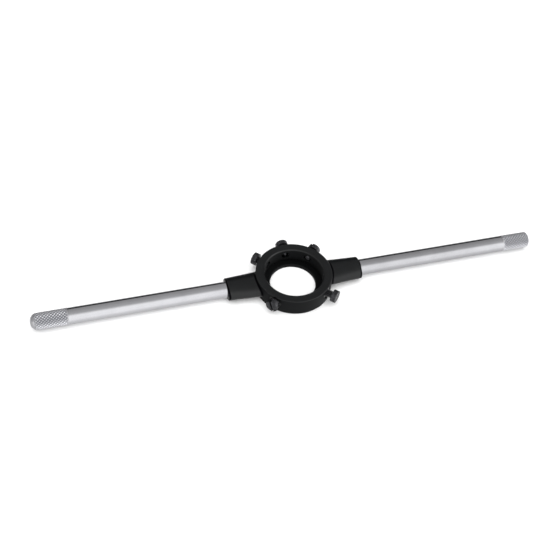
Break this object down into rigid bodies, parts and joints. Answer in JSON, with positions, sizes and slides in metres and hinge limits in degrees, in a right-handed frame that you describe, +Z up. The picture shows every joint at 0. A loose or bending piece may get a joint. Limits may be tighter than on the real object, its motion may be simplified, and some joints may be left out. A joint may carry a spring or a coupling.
{
  "type": "die stock handle",
  "caption": "Die stock: ring head with a stepped seat for a round threading die, slotted screws that spread, adjust and clamp the die, and a knurled steel bar on each side.",
  "frame": {"origin": "on the ring's axis, in the plane of its underside", "axes": "+X along the bars, +Y towards the spreading screw, +Z up out of the die seat"},
  "size_m": [0.336, 0.0551, 0.012],
  "materials": {
    "black_head": "satin black paint on a fine cast skin",
    "bright_bar": "bright plated turned steel",
    "black_screw": "black oxide"
  },
  "bodies": {
    "stock": {"head_casting": "black_head", "handle_bar_left": "bright_bar", "handle_bar_right": "bright_bar"},
    "spreading_screw": {"spreading_screw": "black_screw"},
    "adjusting_screw_right": {"adjusting_screw_right": "black_screw"},
    "adjusting_screw_left": {"adjusting_screw_left": "black_screw"},
    "clamping_screw_left": {"clamping_screw_left": "black_screw"},
    "clamping_screw_right": {"clamping_screw_right": "black_screw"}
  },
  "joints": [
    {"name": "spreading_screw_feed", "type": "slide", "parent": "stock", "child": "spreading_screw", "axis": [0, 1, 0], "range_m": [-0.00205, 0.003]},
    {"name": "adjusting_screw_right_feed", "type": "slide", "parent": "stock", "child": "adjusting_screw_right", "axis": [0.7071, 0.7071, 0], "range_m": [-0.00205, 0.003]},
    {"name": "adjusting_screw_left_feed", "type": "slide", "parent": "stock", "child": "adjusting_screw_left", "axis": [-0.7071, 0.7071, 0], "range_m": [-0.00255, 0.0025]},
    {"name": "clamping_screw_left_feed", "type": "slide", "parent": "stock", "child": "clamping_screw_left", "axis": [-0.7071, -0.7071, 0], "range_m": [-0.00205, 0.003]},
    {"name": "clamping_screw_right_feed", "type": "slide", "parent": "stock", "child": "clamping_screw_right", "axis": [0.7071, -0.7071, 0], "range_m": [-0.00435, 0.0007]}
  ]
}
